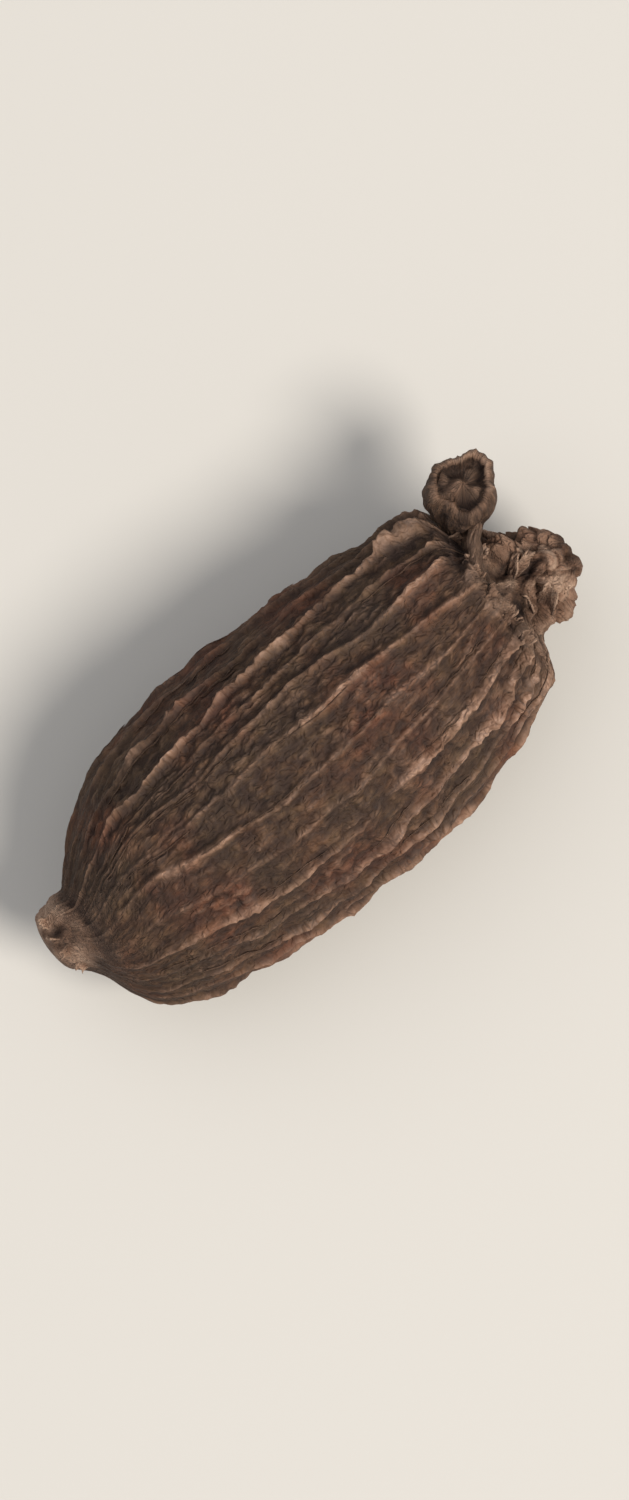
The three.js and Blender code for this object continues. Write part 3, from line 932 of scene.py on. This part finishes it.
# %% [markdown]
# ## The husk's material
# Dried fruit husk: a leathery skin full of long fibres, smoke-dried to dark brown. To the eye the
# valleys are dark red-brown with olive and rust patches, the crests are rubbed to a paler pinkish
# brown with a faint waxy shine, and the nose and crown are dry and tan. The values kept on the mesh
# say where each of these belongs: crest, painted shade and dry. Crest also holds painted highlight on
# the bright stretches and the nose, and painted shade on the upper side's crests; the painted shade
# lies in hollows and creases. The fourth, fibre, gives patterns their way.

# %% Read the values kept on the mesh
dried_husk = bpy.data.materials.new("smoke_dried_husk")
dried_husk.use_nodes = True
tree = dried_husk.node_tree
skin = tree.nodes["Principled BSDF"]
skin.inputs["IOR"].default_value = 1.5
skin.inputs["Specular IOR Level"].default_value = 0.42

where = add(tree, "ShaderNodeTexCoord").outputs["Object"]
fibre = add(tree, "ShaderNodeAttribute", {"attribute_name": "fibre"}).outputs["Vector"]
crest = add(tree, "ShaderNodeAttribute", {"attribute_name": "crest"}).outputs["Fac"]
hollow = add(tree, "ShaderNodeAttribute", {"attribute_name": "hollow"}).outputs["Fac"]
dry = add(tree, "ShaderNodeAttribute", {"attribute_name": "dry"}).outputs["Fac"]
print(len(tree.nodes), "nodes to start with")

# %% [markdown]
# The skin's own colour is drifting patches of brown, rust and olive, darkened by streaks that run
# along the fibres.

# %% Skin tones
# Patches about 4 mm wide: rust where smoke tar stayed, olive-brown where the skin is thin.
patches = add(tree, "ShaderNodeTexNoise", None,
              {"Vector": where, "Scale": 260.0, "Detail": 3.0, "Roughness": 0.55})
skin_tone = add(tree, "ShaderNodeValToRGB", {"stops": [
    (0.30, "#55402B"), (0.44, "#685038"), (0.54, "#6E4E36"), (0.66, "#794A32"), (0.80, "#62462F"),
]}, {"Fac": patches.outputs["Fac"]})

# Fibre streaks about 0.4 mm wide and 3 mm long, with finer ones inside them.
stretch = add(tree, "ShaderNodeMapping", {"vector_type": "POINT"},
              {"Vector": fibre, "Scale": (0.35, 2.6, 2.6)})
streaks = add(tree, "ShaderNodeTexNoise", None,
              {"Vector": stretch.outputs["Vector"], "Scale": 1.0, "Detail": 5.0, "Roughness": 0.65})
streak_tone = add(tree, "ShaderNodeValToRGB", {"stops": [
    (0.34, "#9A948E"), (0.52, "#D2CECA"), (0.70, "#FFFFFF"),
]}, {"Fac": streaks.outputs["Fac"]})
streaked = add(tree, "ShaderNodeMix", {"data_type": "RGBA", "blend_type": "MULTIPLY"},
               {0: 0.75, 6: skin_tone.outputs["Color"], 7: streak_tone.outputs["Color"]})
print(len(tree.nodes), "nodes with the skin's own colour")

# %% [markdown]
# Crests are rubbed pale, more in some stretches than in others. The palest crests are paler still,
# partly from rubbing and partly as painted highlight. Small spots mottle the skin between them.

# %% Rubbed crests and mottling
rubbed = add(tree, "ShaderNodeTexNoise", None,
             {"Vector": where, "Scale": 900.0, "Detail": 4.0, "Roughness": 0.6})
rubbed_share = add(tree, "ShaderNodeMapRange", None, {
    "Value": rubbed.outputs["Fac"], "From Min": 0.38, "From Max": 0.60, "To Min": 0.25, "To Max": 1.0})
crest_share = add(tree, "ShaderNodeMath", {"operation": "MULTIPLY", "use_clamp": True},
                  {0: crest, 1: rubbed_share.outputs["Result"]})
crest_base = add(tree, "ShaderNodeMix", {"data_type": "RGBA"},
                 {0: patches.outputs["Fac"], 6: linear("#947660"), 7: linear("#A2785F")})
# Painted highlight, partly rubbing: the palest crests lighten further.
crest_highlight = add(tree, "ShaderNodeMapRange", None, {
    "Value": crest_share.outputs["Value"], "From Min": 0.7, "From Max": 1.0, "To Min": 0.0, "To Max": 0.30})
crest_tone = add(tree, "ShaderNodeMix", {"data_type": "RGBA"},
                 {0: crest_highlight.outputs["Result"], 6: crest_base.outputs[2], 7: linear("#BE9A84")})

# Spots about 0.4 mm wide and 0.7 mm long, along the fibres: dark red-brown and pale ones.
spot_map = add(tree, "ShaderNodeMapping", {"vector_type": "POINT"},
               {"Vector": fibre, "Scale": (1.5, 2.3, 2.3)})
mottle = add(tree, "ShaderNodeTexNoise", None,
             {"Vector": spot_map.outputs["Vector"], "Scale": 1.0, "Detail": 3.0, "Roughness": 0.6})
mottle_tone = add(tree, "ShaderNodeValToRGB", {"stops": [
    (0.32, "#6B4A38"), (0.44, "#A89A90"), (0.56, "#D8CFC8"), (0.68, "#FFF6EE"),
]}, {"Fac": mottle.outputs["Fac"]})
mottled = add(tree, "ShaderNodeMix", {"data_type": "RGBA", "blend_type": "MULTIPLY"},
              {0: 0.8, 6: streaked.outputs[2], 7: mottle_tone.outputs["Color"]})
crested = add(tree, "ShaderNodeMix", {"data_type": "RGBA"},
              {0: crest_share.outputs["Value"], 6: mottled.outputs[2], 7: crest_tone.outputs[2]})
print(len(tree.nodes), "nodes with the rubbed crests")

# %% [markdown]
# The nose, the crown and the collar beside it are dry and tan to pinkish. Their rims and lumps are
# rubbed to a pale tan. On the nose this pale tan is painted light, lightening a side the key light shades.

# %% Dry ends
end_noise = add(tree, "ShaderNodeTexNoise", None,
                {"Vector": where, "Scale": 700.0, "Detail": 5.0, "Roughness": 0.6})
end_tone = add(tree, "ShaderNodeValToRGB", {"stops": [
    (0.32, "#4A3122"), (0.44, "#765540"), (0.56, "#926F59"), (0.70, "#B2957F"),
]}, {"Fac": end_noise.outputs["Fac"]})
dry_share = add(tree, "ShaderNodeMath", {"operation": "MULTIPLY", "use_clamp": True}, {0: dry, 1: 0.85})
ended = add(tree, "ShaderNodeMix", {"data_type": "RGBA"},
            {0: dry_share.outputs["Value"], 6: crested.outputs[2], 7: end_tone.outputs["Color"]})
# Pale tan rims and lumps; on the nose this is painted light.
rim_share = add(tree, "ShaderNodeMath", {"operation": "MULTIPLY", "use_clamp": True},
                {0: dry_share.outputs["Value"], 1: crest_share.outputs["Value"]})
rimmed = add(tree, "ShaderNodeMix", {"data_type": "RGBA"},
             {0: rim_share.outputs["Value"], 6: ended.outputs[2], 7: linear("#B6977F")})
print(len(tree.nodes), "nodes with the dry ends")

# %% [markdown]
# Fine cracks run round the grains of the leathery skin, which are about 0.25 by 0.5 mm, longer along
# the fibres. Noise bends the grains, and leaves the cracks out in places. Hollows and pits get painted
# shade in dark red-brown, and dark specks lie on everything.

# %% Cracks, hollows and specks
bender = add(tree, "ShaderNodeTexNoise", None,
             {"Vector": fibre, "Scale": 1.3, "Detail": 2.0, "Roughness": 0.5})
bent = add(tree, "ShaderNodeVectorMath", {"operation": "MULTIPLY_ADD"},
           {0: bender.outputs["Color"], 1: (1.1, 0.8, 0.8), 2: fibre})
grain_map = add(tree, "ShaderNodeMapping", {"vector_type": "POINT"},
                {"Vector": bent.outputs["Vector"], "Scale": (2.1, 3.9, 3.9)})
grains = add(tree, "ShaderNodeTexVoronoi", {"feature": "DISTANCE_TO_EDGE"},
             {"Vector": grain_map.outputs["Vector"], "Scale": 1.0})
crack_share = add(tree, "ShaderNodeMapRange", None, {
    "Value": grains.outputs["Distance"], "From Min": 0.0, "From Max": 0.16, "To Min": 1.0, "To Max": 0.0})
crack_places = add(tree, "ShaderNodeMapRange", None, {
    "Value": streaks.outputs["Fac"], "From Min": 0.38, "From Max": 0.60, "To Min": 0.75, "To Max": 0.0})
husk_share = add(tree, "ShaderNodeMapRange", None,
                 {"Value": dry, "From Min": 0.0, "From Max": 1.0, "To Min": 1.0, "To Max": 0.3})
crack_dry = add(tree, "ShaderNodeMath", {"operation": "MULTIPLY"},
                {0: husk_share.outputs["Result"], 1: crack_places.outputs["Result"]})
crack_dark = add(tree, "ShaderNodeMath", {"operation": "MULTIPLY", "use_clamp": True},
                 {0: crack_share.outputs["Result"], 1: crack_dry.outputs["Value"]})
cracked = add(tree, "ShaderNodeMix", {"data_type": "RGBA"},
              {0: crack_dark.outputs["Value"], 6: rimmed.outputs[2], 7: linear("#33231A")})
# Painted shade: hollows, creases and pits darken to dark red-brown.
painted_dark = add(tree, "ShaderNodeMix", {"data_type": "RGBA"},
           {0: hollow, 6: cracked.outputs[2], 7: linear("#2E1C12")})

# Dark specks 0.1 to 0.3 mm wide.
specks = add(tree, "ShaderNodeTexNoise", None,
             {"Vector": where, "Scale": 3200.0, "Detail": 3.0, "Roughness": 0.7})
speck_share = add(tree, "ShaderNodeMapRange", None, {
    "Value": specks.outputs["Fac"], "From Min": 0.60, "From Max": 0.72, "To Min": 0.0, "To Max": 0.6})
specked = add(tree, "ShaderNodeMix", {"data_type": "RGBA"},
              {0: speck_share.outputs["Result"], 6: painted_dark.outputs[2], 7: linear("#2A1F19")})
tree.links.new(specked.outputs[2], skin.inputs["Base Color"])
print(len(tree.nodes), "nodes with cracks, hollows and specks")

# %% [markdown]
# Rubbed crests are smoother than the leathery valleys. Relief finer than the mesh is fibre threads
# about 0.1 mm wide, and the domes of the leathery grains between their cracks.

# %% Shine and fine relief
gloss = add(tree, "ShaderNodeMapRange", None, {
    "Value": crest_share.outputs["Value"], "From Min": 0.0, "From Max": 1.0, "To Min": 0.78, "To Max": 0.50})
tree.links.new(gloss.outputs["Result"], skin.inputs["Roughness"])

thread_map = add(tree, "ShaderNodeMapping", {"vector_type": "POINT"},
                 {"Vector": fibre, "Scale": (1.2, 9.0, 9.0)})
threads = add(tree, "ShaderNodeTexNoise", None,
              {"Vector": thread_map.outputs["Vector"], "Scale": 1.0, "Detail": 4.0, "Roughness": 0.6})
domes = add(tree, "ShaderNodeMapRange", {"interpolation_type": "SMOOTHSTEP"}, {
    "Value": grains.outputs["Distance"], "From Min": 0.0, "From Max": 0.35, "To Min": 0.0, "To Max": 1.0})
thread_bump = add(tree, "ShaderNodeBump", None,
                  {"Height": threads.outputs["Fac"], "Strength": 0.8, "Distance": 0.00012})
leather_bump = add(tree, "ShaderNodeBump", None, {
    "Height": domes.outputs["Result"], "Strength": 0.8, "Distance": 0.00007,
    "Normal": thread_bump.outputs["Normal"]})
tree.links.new(leather_bump.outputs["Normal"], skin.inputs["Normal"])
for piece in pieces:
    piece.data.materials.append(dried_husk)
print(len(tree.nodes), "nodes in the husk material")

# %% [markdown]
# ## Sizes
# The box of the finished pod is printed in millimetres, beside the imported solid's box printed at the
# start.

# %% Sizes and the end of the scene
visual_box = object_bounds()
for name, corner in zip(("from", "to"), visual_box):
    print("visual", name, [round(v / MM, 2) for v in corner], "mm")
